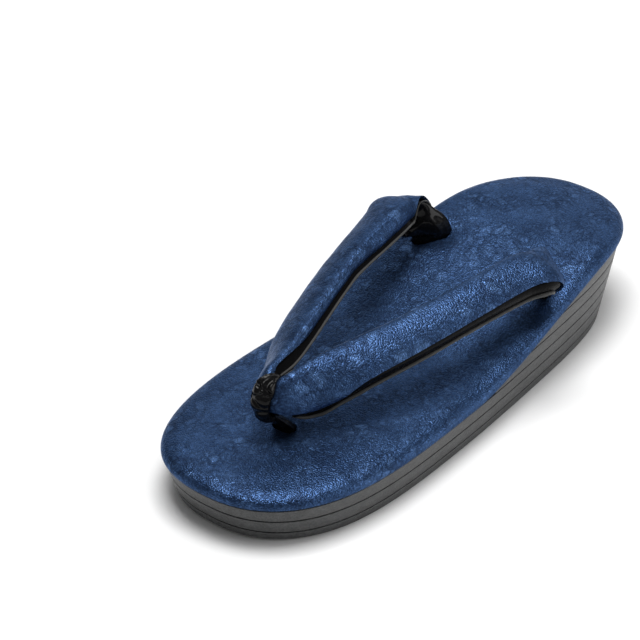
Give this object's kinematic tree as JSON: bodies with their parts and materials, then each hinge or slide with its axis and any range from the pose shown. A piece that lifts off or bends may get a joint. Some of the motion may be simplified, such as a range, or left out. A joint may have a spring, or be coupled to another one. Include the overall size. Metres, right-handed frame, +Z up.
{
  "type": "zori sandal",
  "caption": "Open sandal with a padded footbed on a layered wedge sole and a V of padded straps held by a loop between the toes",
  "frame": {"origin": "Middle of the bounding box on the floor plane, under the middle of the sole.", "axes": "+Z up; the toe points to -Y and the heel to +Y; X = 0 is the plane that the sandal mirrors in."},
  "size_m": [0.092, 0.245, 0.0601],
  "materials": {
    "outsole_rubber": "matte",
    "side_leather": "fine grained, satin",
    "pearl_leather": "pearl, softly crinkled",
    "black_patent": "patent, glossy"
  },
  "bodies": {
    "root": {"outsole": "outsole_rubber", "sole_layer_1": "side_leather", "sole_layer_2": "side_leather", "wedge_layer_1": "side_leather", "wedge_layer_2": "side_leather", "wedge_layer_3": "side_leather", "footbed": "pearl_leather", "strap_upper": "pearl_leather", "strap_lining_left": "black_patent", "strap_lining_right": "black_patent", "strap_end_left": "black_patent", "strap_end_right": "black_patent", "front_loop": "black_patent"}
  },
  "joints": []
}
